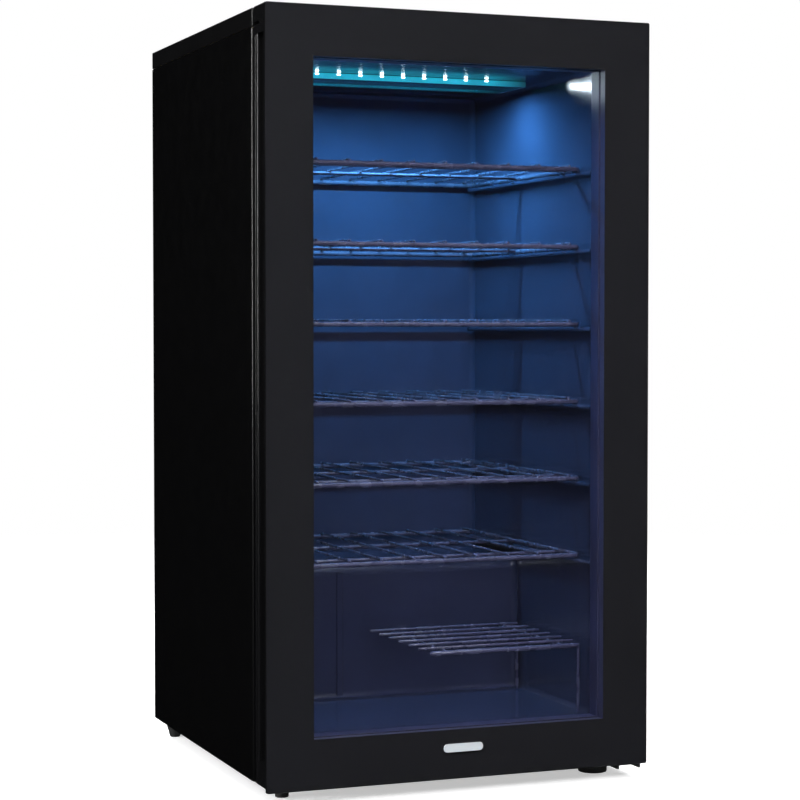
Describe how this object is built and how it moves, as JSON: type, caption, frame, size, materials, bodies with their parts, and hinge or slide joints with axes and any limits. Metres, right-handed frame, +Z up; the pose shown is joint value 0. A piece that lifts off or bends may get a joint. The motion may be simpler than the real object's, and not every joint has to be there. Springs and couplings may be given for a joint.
{
  "type": "wine cooler",
  "caption": "Free-standing black wine cooler with a framed double-glazed door, sliding wire shelves, a lower bottle rack, inner light and rear condenser.",
  "frame": {"origin": "on the floor, at the middle of the cooler's width and depth", "axes": "+Z up, the door faces -Y, +X to the right when facing the door"},
  "size_m": [0.448, 0.5, 0.846],
  "materials": {
    "black_steel": "satin",
    "galvanised_steel": "satin",
    "condenser_black": "satin",
    "black_plastic": "satin",
    "frame_plastic": "satin",
    "foot_plastic": "matte",
    "knob_plastic": "gloss",
    "white_plastic": "satin",
    "liner_plastic": "gloss",
    "foam": "matte",
    "rubber": "matte",
    "copper": "satin",
    "aluminium": "satin",
    "led_board": "satin",
    "light_lens": "satin",
    "shelf_wire": "satin",
    "door_glass": "polished"
  },
  "bodies": {
    "cabinet": {"side_panel_left": "black_steel", "side_panel_right": "black_steel", "top_deck": "galvanised_steel", "top_cover": "black_plastic", "back_panel": "black_steel", "inner_liner": "liner_plastic", "insulation_foam": "foam", "compartment_panel": "galvanised_steel", "base_plate": "galvanised_steel", "front_base_rail": "black_plastic", "foot_rear_left": "foot_plastic", "foot_rear_right": "foot_plastic", "top_hinge_bracket": "galvanised_steel", "bottom_hinge_bracket": "galvanised_steel", "compressor": "black_steel", "compressor_mount_1": "rubber", "compressor_mount_2": "rubber", "compressor_mount_3": "rubber", "compressor_mount_4": "rubber", "start_relay_box": "black_plastic", "drip_tray": "black_plastic", "drain_tube": "rubber", "condenser_coil": "condenser_black", "condenser_wires": "condenser_black", "condenser_frame": "condenser_black", "wall_spacer_left": "black_plastic", "wall_spacer_right": "black_plastic", "filter_dryer": "copper", "discharge_pipe": "copper", "liquid_pipe": "copper", "suction_pipe": "copper", "evaporator_plate": "aluminium", "power_inlet": "black_plastic", "light_housing": "white_plastic", "led_board": "led_board", "light_lens": "light_lens", "control_housing": "black_plastic", "thermostat": "galvanised_steel", "lower_rack": "shelf_wire"},
    "door": {"door_glass_front": "door_glass", "door_glass_rear": "door_glass", "glass_spacer": "frame_plastic", "door_stile_left": "frame_plastic", "door_stile_right": "frame_plastic", "door_rail_top": "frame_plastic", "door_rail_bottom": "frame_plastic", "door_gasket": "rubber", "hinge_bush_top": "white_plastic", "hinge_bush_bottom": "white_plastic", "spare_hinge_socket": "black_plastic"},
    "top_shelf": {"shelf_1": "shelf_wire"},
    "second_shelf": {"shelf_2": "shelf_wire"},
    "third_shelf": {"shelf_3": "shelf_wire"},
    "fourth_shelf": {"shelf_4": "shelf_wire"},
    "fifth_shelf": {"shelf_5": "shelf_wire"},
    "sixth_shelf": {"shelf_6": "shelf_wire"},
    "knob": {"thermostat_knob": "knob_plastic"},
    "rocker": {"light_switch": "knob_plastic"},
    "left_levelling_foot": {"foot_front_left": "foot_plastic"},
    "right_levelling_foot": {"foot_front_right": "foot_plastic"}
  },
  "joints": [
    {"name": "door_hinge", "type": "hinge", "parent": "cabinet", "child": "door", "pos_m": [-0.208, -0.23, 0.43], "axis": [0, 0, -1], "range_deg": [0, 110]},
    {"name": "top_shelf_slide", "type": "slide", "parent": "cabinet", "child": "top_shelf", "axis": [0, -1, 0], "range_m": [0, 0.045]},
    {"name": "second_shelf_slide", "type": "slide", "parent": "cabinet", "child": "second_shelf", "axis": [0, -1, 0], "range_m": [0, 0.045]},
    {"name": "third_shelf_slide", "type": "slide", "parent": "cabinet", "child": "third_shelf", "axis": [0, -1, 0], "range_m": [0, 0.045]},
    {"name": "fourth_shelf_slide", "type": "slide", "parent": "cabinet", "child": "fourth_shelf", "axis": [0, -1, 0], "range_m": [0, 0.045]},
    {"name": "fifth_shelf_slide", "type": "slide", "parent": "cabinet", "child": "fifth_shelf", "axis": [0, -1, 0], "range_m": [0, 0.045]},
    {"name": "sixth_shelf_slide", "type": "slide", "parent": "cabinet", "child": "sixth_shelf", "axis": [0, -1, 0], "range_m": [0, 0.045]},
    {"name": "knob_turn", "type": "hinge", "parent": "cabinet", "child": "knob", "pos_m": [-0.172, -0.194, 0.787], "axis": [0, 1, 0], "range_deg": [0, 300]},
    {"name": "rocker_tip", "type": "hinge", "parent": "cabinet", "child": "rocker", "pos_m": [-0.172, -0.156, 0.773], "axis": [-1, 0, 0], "range_deg": [0, 8]},
    {"name": "left_foot_turn", "type": "hinge", "parent": "cabinet", "child": "left_levelling_foot", "pos_m": [-0.187, -0.188, 0.01], "axis": [0, 0, 1], "range_deg": [0, 1440]},
    {"name": "right_foot_turn", "type": "hinge", "parent": "cabinet", "child": "right_levelling_foot", "pos_m": [0.187, -0.188, 0.01], "axis": [0, 0, 1], "range_deg": [0, 1440]}
  ]
}
